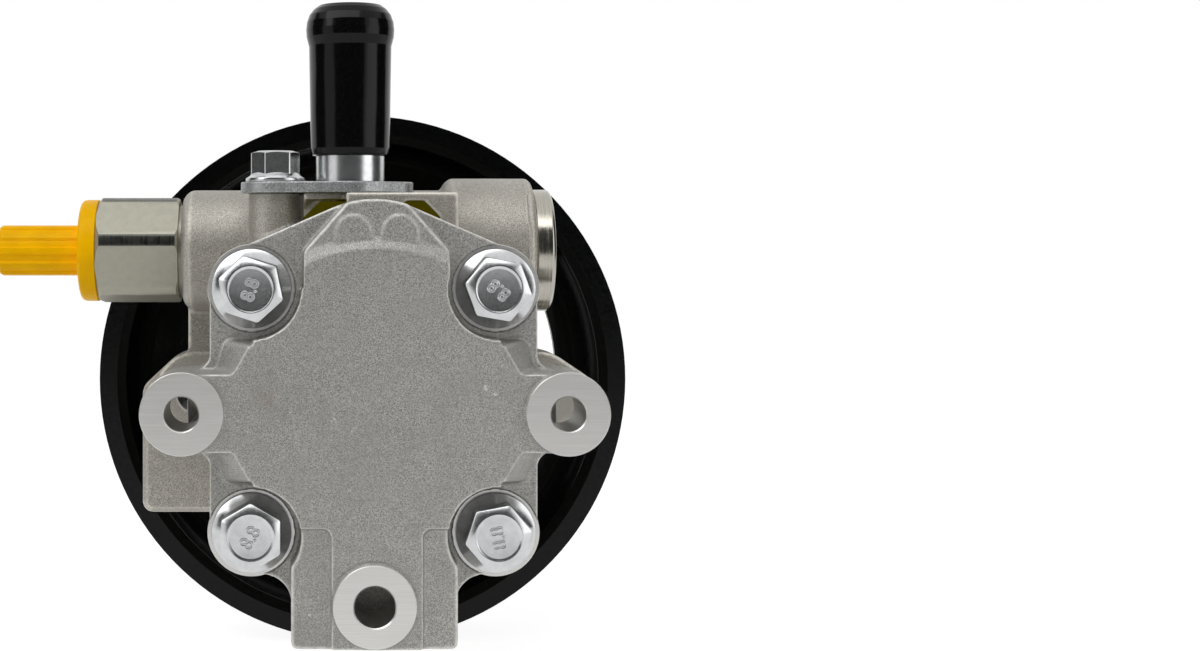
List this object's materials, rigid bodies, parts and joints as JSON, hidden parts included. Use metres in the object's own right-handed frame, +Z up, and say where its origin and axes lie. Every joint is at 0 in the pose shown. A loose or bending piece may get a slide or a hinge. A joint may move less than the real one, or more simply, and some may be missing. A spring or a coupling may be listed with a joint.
{
  "type": "power steering pump",
  "caption": "Belt driven vane pump for power steering: cast body and cover, ribbed pulley, suction pipe with cap, outlet union with plug, control valve and vane cartridge.",
  "frame": {"origin": "the point on the shaft axis that lies in the plane of the three rear mounting faces", "axes": "+Y along the shaft from the rear cover to the pulley, +Z up towards the suction pipe, +X to the right seen from behind the cover, so that the outlet points to -X"},
  "size_m": [0.1622, 0.119, 0.1661],
  "materials": {
    "cast_aluminium": "as-cast and blasted, with machined faces",
    "zinc_steel": "bright zinc plate",
    "plated_steel": "satin warm grey plate",
    "turned_steel": "turned or ground",
    "bearing_bronze": "plain bearing metal",
    "black_paint": "gloss black",
    "seal_rubber": "matt",
    "cap_plastic": "soft and glossy",
    "yellow_plastic": "moulded, slightly glossy"
  },
  "bodies": {
    "housing": {"pump_body": "cast_aluminium", "rear_cover": "cast_aluminium", "cover_bolts": "zinc_steel", "cover_seal_ring": "seal_rubber", "cam_ring": "turned_steel", "side_plate": "turned_steel", "side_plate_seal_ring": "seal_rubber", "locating_pins": "turned_steel", "front_bushing": "bearing_bronze", "rear_bushing": "bearing_bronze", "shaft_seal": "seal_rubber", "outlet_union": "plated_steel", "union_seal_ring": "seal_rubber", "valve_end_plug": "turned_steel", "end_plug_seal_ring": "seal_rubber", "suction_pipe": "zinc_steel", "pipe_flange_plate": "zinc_steel", "pipe_flange_bolt": "zinc_steel", "suction_seal_ring": "seal_rubber", "valve_spring": "turned_steel"},
    "rotating_group": {"drive_shaft": "turned_steel", "pulley": "black_paint", "pulley_hub": "black_paint", "rotor": "turned_steel", "rotor_clip": "turned_steel", "vane_01": "turned_steel", "vane_02": "turned_steel", "vane_03": "turned_steel", "vane_04": "turned_steel", "vane_05": "turned_steel", "vane_06": "turned_steel", "vane_07": "turned_steel", "vane_08": "turned_steel", "vane_09": "turned_steel", "vane_10": "turned_steel"},
    "valve": {"control_valve_spool": "turned_steel", "relief_seat": "turned_steel", "relief_spring": "turned_steel"},
    "relief": {"relief_ball": "turned_steel", "relief_guide": "turned_steel"},
    "cap": {"pipe_cap": "cap_plastic"},
    "plug": {"outlet_plug": "yellow_plastic"}
  },
  "joints": [
    {"name": "shaft_spin", "type": "hinge", "parent": "housing", "child": "rotating_group", "pos_m": [0, 0, 0], "axis": [0, 1, 0], "continuous": true},
    {"name": "valve_stroke", "type": "slide", "parent": "housing", "child": "valve", "axis": [1, 0, 0], "range_m": [0, 0.007], "stiffness_N_per_m": 4000, "springref_m": -0.006, "deforming": ["valve_spring"]},
    {"name": "relief_lift", "type": "slide", "parent": "valve", "child": "relief", "axis": [-1, 0, 0], "range_m": [0, 0.0008], "stiffness_N_per_m": 8000, "springref_m": -0.003, "deforming": ["relief_spring"]},
    {"name": "cap_pull", "type": "slide", "parent": "housing", "child": "cap", "axis": [0, 0, 1], "range_m": [0, 0.04]},
    {"name": "plug_pull", "type": "slide", "parent": "housing", "child": "plug", "axis": [-1, 0, 0], "range_m": [0, 0.03]}
  ]
}
